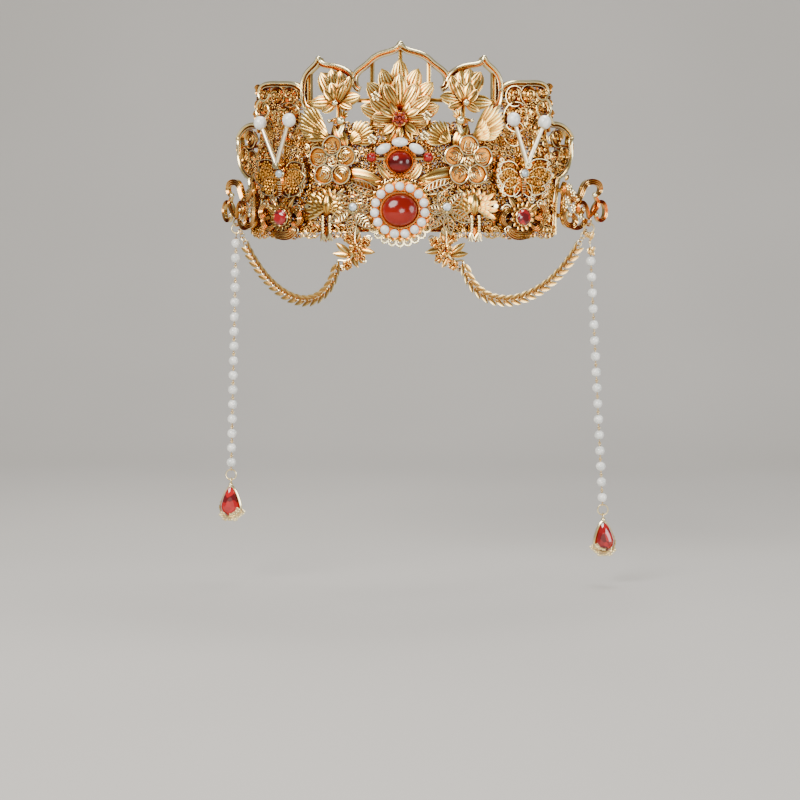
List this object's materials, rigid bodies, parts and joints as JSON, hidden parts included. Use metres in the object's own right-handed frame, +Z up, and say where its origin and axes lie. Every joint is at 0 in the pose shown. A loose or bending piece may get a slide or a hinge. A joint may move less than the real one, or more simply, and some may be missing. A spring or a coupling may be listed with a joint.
{
  "type": "phoenix crown",
  "caption": "Gold openwork crown for the brow with birds, blossoms, set stones, leaf-chain swags and pearl strands that end in red drops.",
  "frame": {"origin": "on the inner face of the frame at the middle of its front, level with the lower edge, where the crown rests on the hair", "axes": "+Z up along the wearer's head, -Y is the crown's front, +X to the right when it is seen from the front"},
  "size_m": [0.1958, 0.0568, 0.2441],
  "materials": {
    "gold": "polished",
    "chain_gold": "polished",
    "pearl": "satin",
    "agate": "polished",
    "ruby": "polished",
    "crystal": "polished"
  },
  "bodies": {
    "root": {"crown_frame": "gold", "lotus_centre": "gold", "lotus_bud_l": "gold", "lotus_bud_r": "gold", "phoenix_l": "gold", "phoenix_r": "gold", "lower_bird_l": "gold", "lower_bird_r": "gold", "plum_flower_l": "gold", "plum_flower_r": "gold", "butterfly_l": "gold", "butterfly_r": "gold", "centre_plaque": "gold", "small_setting": "gold", "side_setting_l": "gold", "side_setting_r": "gold", "leaf_sprig_l": "gold", "leaf_sprig_r": "gold", "rose_spray_l": "gold", "rose_spray_r": "gold", "finial_l": "gold", "finial_r": "gold", "drop_setting_l": "gold", "drop_setting_r": "gold", "leaf_chain_l": "chain_gold", "leaf_chain_r": "chain_gold", "strand_pins_l": "chain_gold", "strand_pins_r": "chain_gold", "antenna_pearls_l": "pearl", "antenna_pearls_r": "pearl", "ring_pearls": "pearl", "rice_pearls": "pearl", "strand_pearls_l": "pearl", "strand_pearls_r": "pearl", "large_cabochon": "agate", "small_cabochon": "agate", "lotus_beads": "ruby", "red_beads": "ruby", "side_stone_l": "ruby", "side_stone_r": "ruby", "drop_stone_l": "ruby", "drop_stone_r": "ruby", "crystals": "crystal"}
  },
  "joints": []
}
